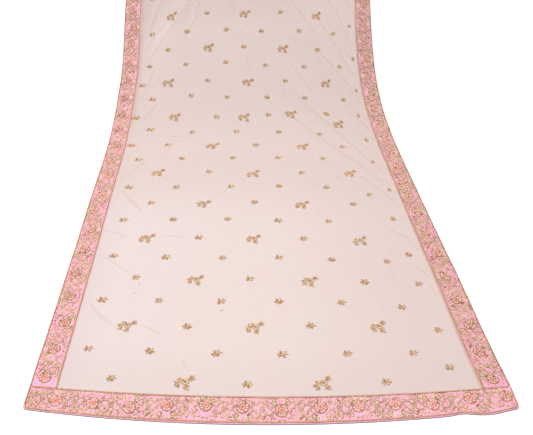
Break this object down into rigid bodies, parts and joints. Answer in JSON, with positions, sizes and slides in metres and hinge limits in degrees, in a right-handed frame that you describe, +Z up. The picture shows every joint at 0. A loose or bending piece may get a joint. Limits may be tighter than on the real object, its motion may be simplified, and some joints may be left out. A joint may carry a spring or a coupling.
{
  "type": "dupatta stole on a hanging rod",
  "caption": "Sheer net dupatta stole with embroidered satin borders, spread on the floor and rising to a plain round rod with its end hanging behind.",
  "frame": {"origin": "middle of the hanging rod's axis, where the rod is held", "axes": "+X along the rod, +Y from the end on the floor towards the end behind the rod, +Z up"},
  "size_m": [1.0803, 1.9316, 0.5416],
  "materials": {
    "net": "sheer pale pink net with gold sprigs",
    "border_satin": "pink satin with raised antique gold embroidery",
    "rod_wood": "satin varnished wood"
  },
  "bodies": {
    "root": {"net_field": "net", "border_left": "border_satin", "border_right": "border_satin", "border_near_end": "border_satin", "border_far_end": "border_satin", "hanging_rod": "rod_wood"}
  },
  "joints": []
}
